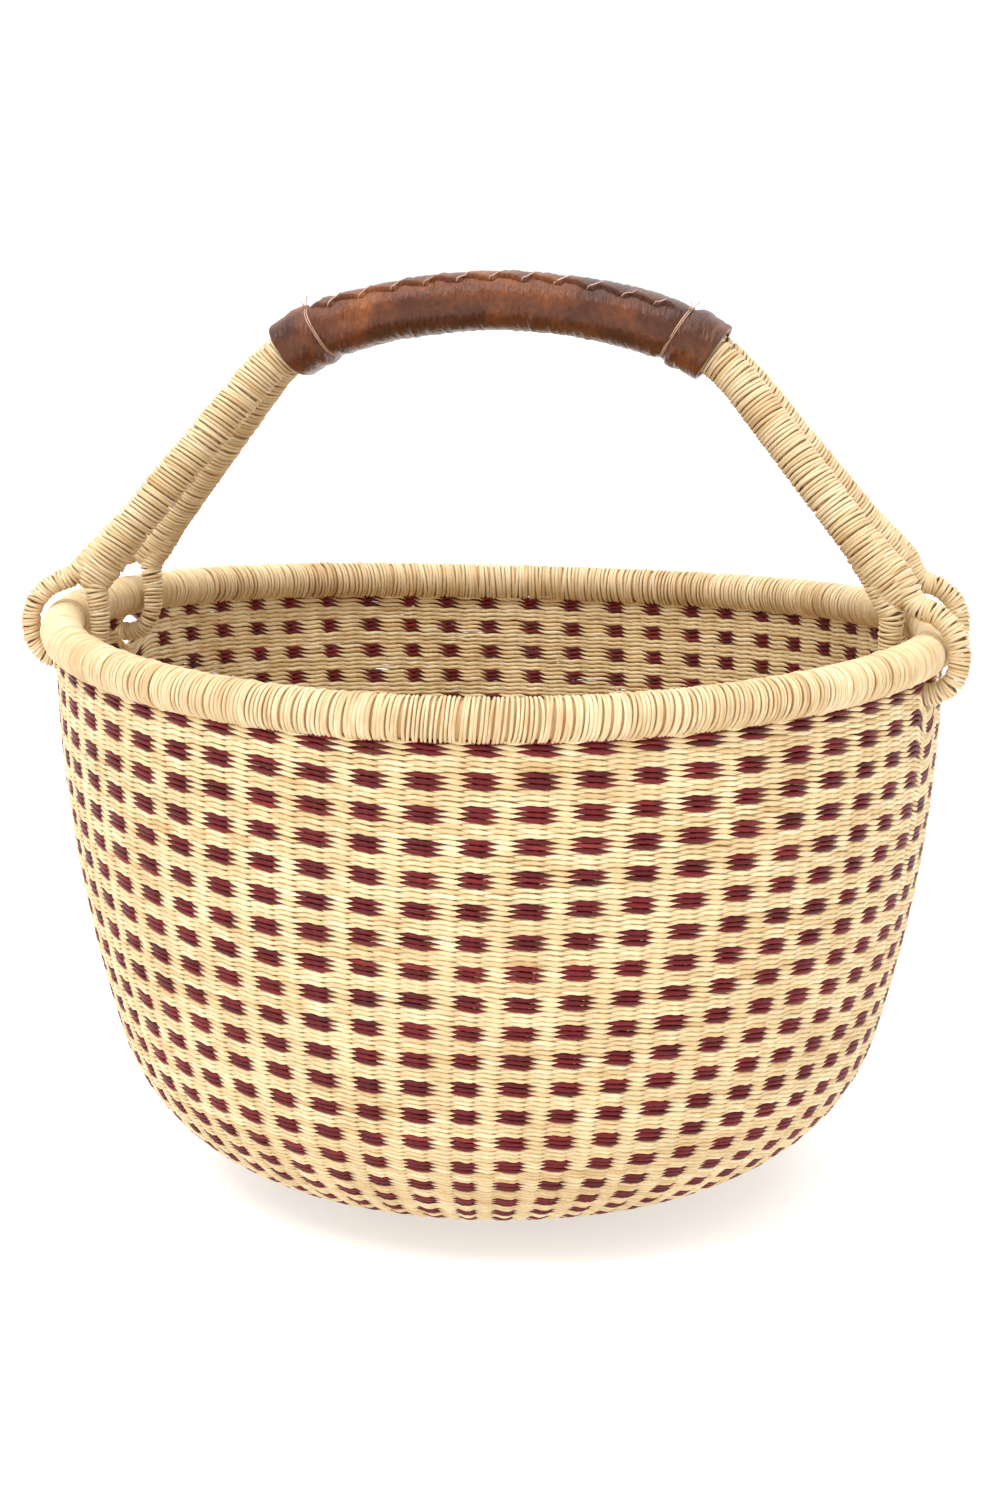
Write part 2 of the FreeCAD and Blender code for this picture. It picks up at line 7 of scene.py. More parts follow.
import bpy
import numpy as np
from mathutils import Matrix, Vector


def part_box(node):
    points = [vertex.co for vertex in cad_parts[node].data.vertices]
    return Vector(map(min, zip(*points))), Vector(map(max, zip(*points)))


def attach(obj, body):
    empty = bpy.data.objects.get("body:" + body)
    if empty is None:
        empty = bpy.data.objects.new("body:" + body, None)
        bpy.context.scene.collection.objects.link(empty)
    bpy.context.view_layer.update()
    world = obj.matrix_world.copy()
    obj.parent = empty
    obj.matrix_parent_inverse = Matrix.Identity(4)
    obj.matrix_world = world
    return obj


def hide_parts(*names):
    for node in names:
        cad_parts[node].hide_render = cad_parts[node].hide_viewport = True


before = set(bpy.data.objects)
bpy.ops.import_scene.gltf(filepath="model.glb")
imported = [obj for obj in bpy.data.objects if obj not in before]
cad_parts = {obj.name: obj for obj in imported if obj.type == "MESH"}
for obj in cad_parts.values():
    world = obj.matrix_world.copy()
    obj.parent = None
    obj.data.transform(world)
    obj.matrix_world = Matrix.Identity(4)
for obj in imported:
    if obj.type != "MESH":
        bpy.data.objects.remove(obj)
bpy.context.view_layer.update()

MM = 0.001
TAU = 2 * math.pi
QUARTER = math.pi / 2
BASKET = "basket"
HANDLE = "handle"

# ------------------------------------------------------------ the frame's sizes

# The rim roll's centre line rises towards the handle's ends, and a little more at the left.
RIM_ROLL = 9.3
RIM_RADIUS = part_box("rim_wrap")[1].x / MM - RIM_ROLL
RIM_HEIGHT = 246.2
RIM_SADDLE = 3.9
RIM_LEAN = 2.2
WALL_TOP = 237.8
WEFT_NODES = [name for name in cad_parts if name.endswith("_weft") and name != "dyed_weft"]
STAKE_NODES = ["long_stakes", "added_stakes", "loop_stakes"]

# The outer profile: a flat patch, then three arcs, each (radius, degrees turned). The last
# arc runs up to WALL_TOP.
FLAT = 45.0
FLOOR = (227.2, 18.8)
CORNER = (86.8, 54.3)
WALL = (559.0, None)
THICKNESS = 6.2

# The stakes and the rows of weft. The stakes turn round the axis by TWIST on their way up.
STAKES = 112
STAKE_STEP = TAU / STAKES
STAKE_RADIUS = 1.05
ROW_PITCH = 2.17
ROWS_IN_A_BAND = 3
TWIST = math.radians(-6.2)
DARK_COLUMN = math.radians(-90 + 8.3)

# The four loops stand this far to each side of the handle's plane.
LOOP_TURN = 4 * STAKE_STEP
LOOP_ANGLES = {
    "front_left": math.pi + LOOP_TURN,
    "back_left": math.pi - LOOP_TURN,
    "front_right": -LOOP_TURN,
    "back_right": LOOP_TURN,
}

# The handle.
CROWN_RADIUS = 235.0
CROWN_CENTRE = 158.0
CROWN_HALF = math.radians(18)
CROWN_RUN = CROWN_HALF * CROWN_RADIUS
BUNDLE_OFFSET = 10.0
BUNDLE_RADIUS = 8.8
LEG_BEND = 24.0
LEG_TAIL = 8.0
FORK_RADIUS = 181.3
FORK_HEIGHT = 274.2
LOOP_STRANDS = {"front_left": 4.5, "back_left": 4.5, "front_right": 5.0, "back_right": 4.9}
SLEEVE_HALF = 97.5
SLEEVE_BEND = 85.0
SLEEVE_OUTSIDE = 13.6

random = np.random.default_rng(62)


# ------------------------------------------------------------------- small tools

def eased(part):
    """A smooth step from 0 to 1."""
    return part * part * (3 - 2 * part)


def smooth_steps(values, period, knots):
    """Periodic values between random knots, joined by smooth steps."""
    count = len(knots)
    place = np.asarray(values, float) / period * count
    low = np.floor(place).astype(int)
    part = eased(place - low)
    return knots[low % count] * (1 - part) + knots[(low + 1) % count] * part


def around_from(angle, loop):
    """Distance round the wall from a loop's middle."""
    return ((angle - loop + math.pi) % TAU - math.pi) * WALL_RADIUS


def section(sides):
    """Angles round a strand's section."""
    return np.arange(sides) / sides * TAU


def unit(vectors):
    """The vectors at length one."""
    return vectors / np.linalg.norm(vectors, axis=1)[:, None]


# ------------------------------------------------------------------------ meshes

def quad_mesh(name, points, faces):
    """A smooth mesh of four-cornered faces."""
    mesh = bpy.data.meshes.new(name)
    mesh.vertices.add(len(points))
    mesh.vertices.foreach_set("co", (points * MM).astype(np.float32).ravel())
    mesh.loops.add(faces.size)
    mesh.loops.foreach_set("vertex_index", faces.astype(np.int32).ravel())
    mesh.polygons.add(len(faces))
    mesh.polygons.foreach_set("loop_start", np.arange(0, faces.size, 4, dtype=np.int32))
    mesh.polygons.foreach_set("loop_total", np.full(len(faces), 4, np.int32))
    mesh.polygons.foreach_set("use_smooth", np.ones(len(faces), bool))
    mesh.update(calc_edges=True)
    return mesh


def add_map(mesh, name, u, v):
    """A texture map from one value of u and v for every corner of every face."""
    layer = mesh.uv_layers.new(name=name)
    layer.data.foreach_set("uv", np.stack([u, v], axis=-1).astype(np.float32).ravel())


def linked_object(name, data):
    item = bpy.data.objects.new(name, data)
    bpy.context.scene.collection.objects.link(item)
    return item


class Strands:
    """Collects closed or open tubes into one mesh, with a shade for every vertex and a
    texture map that gives each stretch of tube its own patch."""

    # The bake's grid is this much wider than high, and each cell's patch leaves a margin.
    GRID_SHAPE = 1.6
    CELL_MARGIN = 0.03

    def __init__(self, sides):
        self.sides = sides
        self.points = []
        self.shades = []
        self.faces = []
        self.segments = []
        self.total = 0

    def add(self, rings, shade, closed):
        """rings is (samples, sides, 3); shade is one value per sample."""
        samples = len(rings)
        sides = self.sides
        self.points.append(rings.reshape(-1, 3))
        self.shades.append(np.repeat(shade, sides))
        start = self.total
        here = np.arange(samples if closed else samples - 1)
        after = (here + 1) % samples
        side = np.arange(sides)
        beside = (side + 1) % sides
        a = start + here[:, None] * sides + side
        b = start + here[:, None] * sides + beside
        c = start + after[:, None] * sides + beside
        d = start + after[:, None] * sides + side
        self.faces.append(np.stack([a, d, c, b], axis=-1).reshape(-1, 4))
        self.segments.append(len(here))
        self.total += samples * sides
        if not closed:
            self.add_end(start, reverse=False)
            self.add_end(start + (samples - 1) * sides, reverse=True)

    def add_end(self, first, reverse):
        """Two quads that shut the end of a tube of six sides."""
        ring = first + np.arange(self.sides)
        if reverse:
            ring = ring[::-1]
        quads = [[ring[0], ring[1], ring[2], ring[3]], [ring[0], ring[3], ring[4], ring[-1]]]
        self.faces.append(np.array(quads))
        self.segments.append(0)

    def mesh_object(self, name):
        mesh = quad_mesh(name, np.concatenate(self.points), np.concatenate(self.faces))
        shade = mesh.attributes.new("shade", "FLOAT", "POINT")
        shade.data.foreach_set("value", np.concatenate(self.shades).astype(np.float32))
        self.add_maps(mesh)
        return linked_object(name, mesh)

    def add_maps(self, mesh):
        """Two maps: 'fibre' counts segments along the strand, and 'OFBake' lays every
        segment of every tube in its own cell of a grid."""
        sides = self.sides
        along, around, is_end = [], [], []
        count = 0
        for segments, block in zip(self.segments, self.faces):
            if segments == 0:
                along.append(np.full(len(block), count - 1))
                around.append(np.zeros(len(block)))
                is_end.append(np.ones(len(block), bool))
            else:
                along.append(np.repeat(count + np.arange(segments), sides))
                around.append(np.tile(np.arange(sides), segments))
                is_end.append(np.zeros(len(block), bool))
                count += segments
        along = np.concatenate(along)
        around = np.concatenate(around)
        is_end = np.concatenate(is_end)[:, None]
        columns = max(1, int(math.sqrt(count * self.GRID_SHAPE)))
        lines = math.ceil(count / columns)
        column = (along % columns)[:, None]
        line = (along // columns)[:, None]
        corner_u = np.array([0, 1, 1, 0])
        corner_v = np.array([0, 0, 1, 1])
        across = (around[:, None] + corner_v) / sides
        in_cell = across * (1 - 2 * self.CELL_MARGIN) + self.CELL_MARGIN
        u = np.where(is_end, (column + 0.5) / columns, (column + corner_u) / columns)
        v = np.where(is_end, (line + 0.5) / lines, (line + in_cell) / lines)
        add_map(mesh, "OFBake", u, v)
        add_map(mesh, "fibre", along[:, None] + corner_u, across)


# ------------------------------------------------------------------ the profile

def build_arcs():
    """The three arcs of the profile and the profile's whole length."""
    arcs = []
    turned = 0.0
    centre = np.array([FLAT, FLOOR[0]])
    start = FLAT
    for radius, degrees in (FLOOR, CORNER, WALL):
        if arcs:
            outwards = np.array([math.sin(turned), -math.cos(turned)])
            centre = arcs[-1]["centre"] + outwards * (arcs[-1]["radius"] - radius)
        if degrees is None:
            end = math.acos((centre[1] - WALL_TOP) / radius)
        else:
            end = turned + math.radians(degrees)
        arcs.append({"centre": centre, "radius": radius, "from": turned, "start": start})
        start += radius * (end - turned)
        turned = end
    return arcs, start


ARCS, WALL_END = build_arcs()


def profile(distance, depth):
    """Radius and height at a distance along the outer profile, moved inwards by depth."""
    distance, depth = np.broadcast_arrays(np.asarray(distance, float), np.asarray(depth, float))
    radius = distance.copy()
    height = depth.copy()
    for arc in ARCS:
        inside = distance > arc["start"]
        angle = arc["from"] + (distance - arc["start"]) / arc["radius"]
        reach = arc["radius"] - depth
        radius = np.where(inside, arc["centre"][0] + np.sin(angle) * reach, radius)
        height = np.where(inside, arc["centre"][1] - np.cos(angle) * reach, height)
    return radius, height


def distance_at(height):
    """Distance along the wall where the profile reaches this height."""
    arc = ARCS[-1]
    angle = math.acos((arc["centre"][1] - height) / arc["radius"])
    return arc["start"] + (angle - arc["from"]) * arc["radius"]


def rim_height(angle):
    """Height of the rim roll's centre line at an angle round the axis."""
    return RIM_HEIGHT + RIM_SADDLE * np.cos(2 * angle) - RIM_LEAN * np.cos(angle)


FRONT_RIM = rim_height(-QUARTER)


def on_wall(angle, distance, depth):
    """A point of the wall; the rows rise with the rim, and less so lower down."""
    radius, height = profile(distance, depth)
    share = eased(np.clip(height / FRONT_RIM, 0, 1))
    height = height + share * (rim_height(angle) - FRONT_RIM)
    return np.stack([radius * np.cos(angle), radius * np.sin(angle), height], axis=-1)


# ------------------------------------------------------------- the woven surface

TOP_ROW = distance_at(233.8)
LAST_ROW = 6
ZONE_LENGTH = 76
ZONES = 4

# The opening for a loop is a lens between these heights, with the weft pushed aside.
SLOT_LOW = 217.9
SLOT_LINE = distance_at(228.5)
SLOT_DEPTH = SLOT_LINE - distance_at(SLOT_LOW)
SLOT_HALF = 16.0
SLOT_ROUNDNESS = 0.8
SLOT_FADE = 30.0
SLOT_LIFT = 5.0
WALL_RADIUS = 194.0
LOOP_ROOM = 8.4

stake_jitter = random.normal(0, 0.07, STAKES)
wave_a = random.normal(0, 1, 23)
wave_b = random.normal(0, 1, 37)
wave_c = random.normal(0, 1, 61)


def lean(distance):
    """How far the stakes have turned round the axis at this distance from the middle."""
    return TWIST * (1 - distance / WALL_END)


def make_way(angle, distance, above):
    """Pushes the weft aside where a handle loop passes through the wall under the rim; above
    says whether the whole row lies over the opening or under it."""
    moved = distance
    for loop in LOOP_ANGLES.values():
        across = around_from(angle, loop)
        share = np.where(np.abs(across) < SLOT_HALF, np.cos(across / SLOT_HALF * QUARTER) ** 2, 0)
        share = share ** SLOT_ROUNDNESS
        below = np.maximum(SLOT_LINE - distance, 0)
        push = SLOT_LIFT if above else -SLOT_DEPTH * np.exp(-below / SLOT_FADE)
        moved = moved + share * push
    return moved


def row_wave(angle, distance):
    """Gentle rise and fall of a row, nearly the same in the rows beside it."""
    turn = angle % TAU
    calm = 0.42 * smooth_steps(turn + distance * 0.004, TAU, wave_a)
    busy = 0.24 * smooth_steps(turn - distance * 0.009, TAU, wave_b)
    fine = 0.14 * smooth_steps(turn + distance * 0.015, TAU, wave_c)
    return (calm + busy + fine) * np.clip(distance / WALL_END, 0, 1)


def stakes_at(distance):
    """How many stakes the weft goes round at this distance from the middle."""
    if distance > 68:
        return STAKES
    if distance > 32:
        return STAKES // 2
    if distance > 15:
        return STAKES // 4
    return STAKES // 8


SAMPLES_PER_STAKE = 6
SIDES = 6

# The two strands of a row share a cell of the wall, and turn round each other inside it. A
# strand's section is the half of the cell on its side: these are the polar angles of its
# corners from the cell's middle, and how far out they reach.
CORNER_TURNS = np.radians([0, -45, -90, 90, 45])
CORNER_REACH = np.array([1.0, 1.0, 0.98, 0.98, 1.0])
NEAR_DIVIDER = np.array([0, 0, 1.0, 1.0, 0])
CELL_POWER = 3.8
CELL_OVERLAP = 1.06
STAKE_ROOM = 0.32
ROW_SLOPE = 0.13
# How far the wall sinks between two stakes, as a share of its thickness, from floor to rim.
RIB_PLACES = [0, 60, 150, 250, WALL_END]
RIB_DEPTHS = [0.10, 0.18, 0.32, 0.26, 0.18]
SWELL_NOISE = 0.04
ROW_NOISE = 0.10
LIFT_NOISE = 0.05
# A dyed strand stays outside for more than half of every two stakes.
DYED_STAY = 0.32
SKIN = 0.02


def twined_strand(distance, phase, stay):
    """One strand of a twined pair, once round the basket. It passes outside the stakes whose
    number plus phase is even, and inside the others, and slants down to the right. Stay is
    how much longer the strand of phase 0 is outside than inside."""
    stakes = stakes_at(distance)
    number = np.arange(stakes * SAMPLES_PER_STAKE) / SAMPLES_PER_STAKE
    coarse = STAKES // stakes
    stake = np.floor(number).astype(int)
    part = eased(number - stake)
    jitter_here = stake_jitter[(stake * coarse) % STAKES]
    jitter_next = stake_jitter[((stake + 1) * coarse) % STAKES]
    jitter = jitter_here * (1 - part) + jitter_next * part
    angle = DARK_COLUMN + number * TAU / stakes + jitter * STAKE_STEP + lean(distance)
    theta = math.pi * (number + phase) - stay * np.sin(math.pi * number)
    out = np.abs(np.cos(theta))
    polar = theta[:, None] + CORNER_TURNS
    reach = np.abs(np.cos(polar)) ** CELL_POWER + np.abs(np.sin(polar)) ** CELL_POWER
    reach = reach ** (-1 / CELL_POWER) * CORNER_REACH
    room = STAKE_ROOM * out ** 2
    # The sixth corner is the middle of the line that divides the cell, beside the stake.
    middle = np.stack([room * np.cos(theta), room * np.sin(theta)], axis=-1)
    outwards = reach * np.cos(polar) + middle[:, :1] * NEAR_DIVIDER
    downwards = reach * np.sin(polar) + middle[:, 1:] * NEAR_DIVIDER
    outwards = np.insert(outwards, 3, middle[:, 0], axis=1)
    downwards = np.insert(downwards, 3, middle[:, 1], axis=1)
    rib = np.interp(distance, RIB_PLACES, RIB_DEPTHS)
    swell = 1 - rib * (1 - out ** 2) + SWELL_NOISE * smooth_steps(angle + distance * 1.7, TAU, wave_b)
    half_row = 1 + ROW_NOISE * smooth_steps(angle + distance * 2.3, TAU, wave_c)
    half_row = half_row * ROW_PITCH / 2 * CELL_OVERLAP
    lifts = random.normal(0, LIFT_NOISE, stakes + 1)
    own_lift = lifts[np.minimum(np.round(number).astype(int), stakes)]
    slope = own_lift * out - ROW_SLOPE * np.sin(2 * theta)
    along = distance + row_wave(angle, distance) + ROW_PITCH * slope
    s = along[:, None] - half_row[:, None] * downwards
    depth = THICKNESS / 2 * (1 - outwards * swell[:, None])
    turn = angle[:, None] + 0 * s
    s = make_way(turn, s, distance > SLOT_LINE)
    return on_wall(turn, s, np.maximum(depth, SKIN))


# A strand is made of straws end to end: the shade's mean, its spread, and one straw for each
# so many millimetres of the row's radius.
STRAW_SHADE = 0.55
STRAW_SPREAD = 0.15
STRAW_LENGTH = 9
STRAW_JOIN = 0.2


def straw_shade(count, pieces):
    """A strand is made of many straws end to end, each with a shade of its own."""
    knots = np.clip(random.normal(STRAW_SHADE, STRAW_SPREAD, pieces), 0, 1)
    position = (np.arange(count) / count * pieces + random.random()) % pieces
    low = np.floor(position).astype(int)
    part = np.clip((position - low - 1 + STRAW_JOIN) / STRAW_JOIN, 0, 1)
    return knots[low % pieces] * (1 - part) + knots[(low + 1) % pieces] * part


def weave():
    """All rows from the rim to the middle, as several pieces: natural strands by zone, and
    the dyed strand of every dyed row."""
    rows = int((TOP_ROW - LAST_ROW) / ROW_PITCH)
    zones = {}
    for row in range(rows):
        distance = TOP_ROW - row * ROW_PITCH
        dyed_row = (row // ROWS_IN_A_BAND) % 2 == 0
        zone = min(ZONES, 1 + int((TOP_ROW - distance) / ZONE_LENGTH))
        for phase in (0, 1):
            dyed = dyed_row and phase == 0
            name = f"{'dyed' if dyed else 'natural'}_weft_{zone}"
            strands = zones.setdefault(name, Strands(SIDES))
            rings = twined_strand(distance, phase, DYED_STAY if dyed_row else 0.0)
            shade = straw_shade(len(rings), max(6, int(distance / STRAW_LENGTH)))
            strands.add(rings, shade, closed=True)
    return {name: strands.mesh_object(name) for name, strands in zones.items()}


# Every second stake starts near the hub, and the others where the floor has widened.
STAKE_STARTS = (22.5, 70.0)
STAKE_SAMPLE = 7
UNDER_SLOT = 4.0


def stake_pieces():
    """The straight bundles that the weft goes round, from the floor up into the rim roll."""
    strands = Strands(SIDES)
    turns = section(SIDES)
    for index in range(STAKES):
        angle_top = DARK_COLUMN + (index + stake_jitter[index]) * STAKE_STEP
        start = STAKE_STARTS[index % 2]
        stop = WALL_END - 1.0
        if any(abs(around_from(angle_top, loop)) < LOOP_ROOM for loop in LOOP_ANGLES.values()):
            stop = distance_at(SLOT_LOW) - UNDER_SLOT
        count = int((stop - start) / STAKE_SAMPLE) + 2
        distance = np.linspace(start, stop, count)
        radius = profile(distance, THICKNESS / 2)[0]
        depth = THICKNESS / 2 - STAKE_RADIUS * np.cos(turns)[None, :] + 0 * distance[:, None]
        angle = angle_top + lean(distance)
        turn = angle[:, None] + STAKE_RADIUS * np.sin(turns) / radius[:, None]
        rings = on_wall(turn, distance[:, None] + 0 * depth, depth)
        strands.add(rings, np.full(count, random.random()), closed=False)
    return strands.mesh_object("stakes")


# ------------------------------------------------------------------ wound straw

# A winding's straw wanders aside and lifts by random amounts, with so many knots a turn.
KNOTS_IN_A_TURN = 3
# The core's size as a share of the winding's, and its shade.
CORE_SHARE = 0.80
CORE_SHADE = 0.2
RIM_TURN_SAMPLES = 22
TURN_SAMPLES = 16
# Each winding: how far apart the turns lie, half the straw's width and half its thickness.
RIM_STRAW = (1.80, 0.80, 0.85)
LEG_STRAW = (1.80, 0.83, 0.88)
LOOP_STRAW = (1.62, 0.84, 0.80)
# And the spread of its wandering aside and of its lift.
RIM_WANDER = (0.38, 0.18)
HANDLE_WANDER = (0.34, 0.16)


def wander(number, spread, generator):
    """A smooth random value along a winding, with a few knots in every turn."""
    knots = generator.normal(0, spread, int(number[-1] * KNOTS_IN_A_TURN) + 3)
    place = number * KNOTS_IN_A_TURN
    low = place.astype(int)
    part = eased(place - low)
    return knots[low] * (1 - part) + knots[low + 1] * part


def wrap_shade(turns_count, per_turn, generator):
    """Turns of one straw share its shade, and every turn differs a little."""
    shade = np.zeros(turns_count)
    turn = 0
    while turn < turns_count:
        length = int(generator.integers(3, 12))
        shade[turn:turn + length] = generator.normal(0.56, 0.07)
        turn += length
    shade = np.clip(shade + generator.normal(0, 0.12, turns_count), 0, 1)
    return np.repeat(shade, per_turn)


def rim_winding():
    """Straw wound round the rim roll: one long helix that goes once round the rim."""
    pitch, half_wide, half_thick = RIM_STRAW
    turns_count = round(TAU * RIM_RADIUS / pitch)
    number = np.arange(turns_count * RIM_TURN_SAMPLES) / RIM_TURN_SAMPLES
    wound = number * TAU
    fade = np.minimum(1, np.minimum(number, number[-1] - number))
    aside = wander(number, RIM_WANDER[0], random) * fade
    lift = wander(number, RIM_WANDER[1], random) * fade
    angle = number / turns_count * TAU + (0.7 * np.sin(wound + 0.6) + aside) / RIM_RADIUS
    half_wide = half_wide + 0.10 * smooth_steps(angle, TAU, wave_c)
    centre = RIM_ROLL - half_thick - 0.12 + lift
    turns = section(SIDES)
    reach = centre[:, None] + half_thick * np.cos(turns)
    from_axis = RIM_RADIUS + reach * np.cos(wound)[:, None]
    turn = angle[:, None] + half_wide[:, None] * np.sin(turns) / RIM_RADIUS
    height = rim_height(turn) + reach * np.sin(wound)[:, None]
    rings = np.stack([from_axis * np.cos(turn), from_axis * np.sin(turn), height], axis=-1)
    strands = Strands(SIDES)
    strands.add(rings, wrap_shade(turns_count, RIM_TURN_SAMPLES, random), closed=True)
    return strands.mesh_object("rim_winding")


def resampled(points, spacing):
    """Points at an even spacing along a polyline, and their distances along it."""
    points = np.asarray(points, float)
    steps = np.linalg.norm(np.diff(points, axis=0), axis=1)
    length = np.concatenate([[0], np.cumsum(steps)])
    count = max(8, int(length[-1] / spacing))
    wanted = np.linspace(0, length[-1], count)
    return np.stack([np.interp(wanted, length, points[:, i]) for i in range(3)], axis=1), wanted


def smooth_path(points, per_span=14):
    """A Catmull-Rom curve through the points."""
    points = np.asarray(points, float)
    padded = np.vstack([2 * points[0] - points[1], points, 2 * points[-1] - points[-2]])
    out = []
    for i in range(len(points) - 1):
        a, b, c, d = padded[i:i + 4]
        t = (np.arange(per_span) / per_span)[:, None]
        out.append(0.5 * (2 * b + (c - a) * t + (2 * a - 5 * b + 4 * c - d) * t ** 2
                          + (3 * b - a - 3 * c + d) * t ** 3))
    out.append(points[-1:])
    return np.vstack(out)


def path_frame(path, first_side, spacing):
    """Points along a path and their distances, with three directions at each: along the
    path, the one nearest to first_side, and the one across both."""
    points, length = resampled(path, spacing)
    tangent = unit(np.gradient(points, axis=0))
    wanted = np.asarray(first_side, float)
    side = unit(wanted - tangent * (tangent @ wanted)[:, None])
    return points, length, tangent, side, np.cross(tangent, side)


def winding(path, first_side, radius_side, radius_across, straw, seed):
    """Straw wound round a path. The bundle's section is an ellipse: radius_side along the
    direction nearest to first_side, radius_across the other way. Both are functions of the
    distance along the path. Returns the rings of one long strand and its shades."""
    pitch, half_wide, half_thick = straw
    points, length, tangent, side, across = path_frame(path, first_side, 0.5)
    turns_count = int(length[-1] / pitch)
    generator = np.random.default_rng(seed)
    number = np.arange(turns_count * TURN_SAMPLES) / TURN_SAMPLES
    aside = wander(number, HANDLE_WANDER[0], generator)
    lift = wander(number, HANDLE_WANDER[1], generator)
    wound = number * TAU
    place = np.clip(number * pitch + 0.5 * np.sin(wound + 1.0) + aside, 0, length[-1])

    def at(values):
        return np.stack([np.interp(place, length, values[:, i]) for i in range(3)], axis=1)

    centre, along, one, two = at(points), at(tangent), at(side), at(across)
    big = radius_side(place)
    small = radius_across(place)
    cos, sin = np.cos(wound), np.sin(wound)
    spoke = one * (big * cos)[:, None] + two * (small * sin)[:, None]
    outward = unit(one * (small * cos)[:, None] + two * (big * sin)[:, None])
    base = centre + spoke + outward * (lift - half_thick)[:, None]
    turns = section(SIDES)
    rings = (base[:, None, :] + outward[:, None, :] * (half_thick * np.cos(turns))[None, :, None]
             + along[:, None, :] * (half_wide * np.sin(turns))[None, :, None])
    return rings, wrap_shade(turns_count, TURN_SAMPLES, generator)


def core_tube(path, first_side, radius_side, radius_across):
    """The straw bundle inside a winding: a plain tube just under the wound straw."""
    points, length, _, side, across = path_frame(path, first_side, 3.0)
    turns = section(SIDES)[None, :, None]
    big = (radius_side(length) * CORE_SHARE)[:, None, None]
    small = (radius_across(length) * CORE_SHARE)[:, None, None]
    return (points[:, None, :] + side[:, None, :] * big * np.cos(turns)
            + across[:, None, :] * small * np.sin(turns))


def bundle_path(side, end):
    """One leg of a bundle's centre line, from under the leather to just past the fork, with
    the fork's place and the leg's direction upwards. Side is -1 in front and +1 behind; end
    is -1 at the left and +1 at the right."""
    across = side * BUNDLE_OFFSET
    crown = [(CROWN_RADIUS * math.sin(a), across, CROWN_CENTRE + CROWN_RADIUS * math.cos(a))
             for a in np.linspace(0.75 * CROWN_HALF, CROWN_HALF, 12)]
    crown_end = np.array(crown[-1])
    corner = crown_end + np.array([math.cos(CROWN_HALF), 0, -math.sin(CROWN_HALF)]) * LEG_BEND
    fork_across = side * FORK_RADIUS * math.sin(LOOP_TURN)
    fork = np.array([FORK_RADIUS * math.cos(LOOP_TURN), fork_across, FORK_HEIGHT])
    down = (fork - corner) / np.linalg.norm(fork - corner)
    bend = [(1 - t) ** 2 * crown_end + 2 * t * (1 - t) * corner + t * t * (corner + down * LEG_BEND)
            for t in np.linspace(0, 1, 12)[1:]]
    tail = [fork + down * q for q in (0, LEG_TAIL / 2, LEG_TAIL)]
    points = np.array(crown + bend + tail)
    points[:, 0] *= end
    return points, fork * [end, 1, 1], -down * [end, 1, 1]


# Over this length above the fork a leg grows wide one way and narrow the other, and past
# the fork its tail closes.
FORK_LENGTH = 26
FORK_GROWTH = (1.3, -2.6)
TAIL_CLOSING = (8.2, 4.4)
# A loop's strand is thicker by FORK_SWELL where it leaves the leg.
FORK_SWELL = 1.0
SWELL_START = 22
SWELL_LENGTH = 24

# Points of a loop's centre line round the rim roll: outwards from the roll's centre line,
# and upwards from it.
LOOP_POINTS = [
    (-4.6, 21.2), (3.2, 18.2), (9.7, 13.2), (13.7, 6.8), (14.8, -0.4), (13.7, -7.6), (10.3, -12.9),
    (4.8, -16.1), (-1.4, -17.0), (-7.8, -15.4), (-12.6, -10.9), (-15.1, -4.2), (-15.6, 3.0),
    (-15.3, 10.0), (-15.2, 17.0),
]
# And its points inside the leg, before and after: up the leg from the fork, and above or
# below the leg's middle.
LOOP_BEFORE = [(24, 3.4), (12, 4.2), (3.0, 4.8)]
LOOP_AFTER = [(9, -4.6), (24, -3.4)]


def loop_path(outward, rim_centre, fork, up):
    """From inside the leg, round the rim roll and back into the leg."""
    lift = np.array([0, 0, 1.0])
    upper = outward * up[2] - lift * (up @ outward)
    upper /= np.linalg.norm(upper)
    points = [fork + up * along + upper * above for along, above in LOOP_BEFORE]
    points += [rim_centre + outward * u + lift * w for u, w in LOOP_POINTS]
    points += [fork + up * along + upper * above for along, above in LOOP_AFTER]
    return smooth_path(points)


def leg_radius(total, growth, closing):
    """A leg's half width at a distance along it, for a leg of this length."""
    def radius(distance):
        near = np.clip(1 - (total - LEG_TAIL - distance) / FORK_LENGTH, 0, 1)
        past = np.clip(1 - (total - distance) / LEG_TAIL, 0, 1)
        return BUNDLE_RADIUS + growth * near * near - closing * past * past
    return radius


def loop_radius(total, strand):
    """A loop strand's radius at a distance along it, for a loop of this length."""
    def radius(distance):
        from_leg = np.minimum(distance, total - distance)
        return strand + FORK_SWELL * np.clip(1 - (from_leg - SWELL_START) / SWELL_LENGTH, 0, 1)
    return radius


def one_tube(name, rings, shade):
    strands = Strands(SIDES)
    strands.add(rings, shade, closed=False)
    return strands.mesh_object(name)


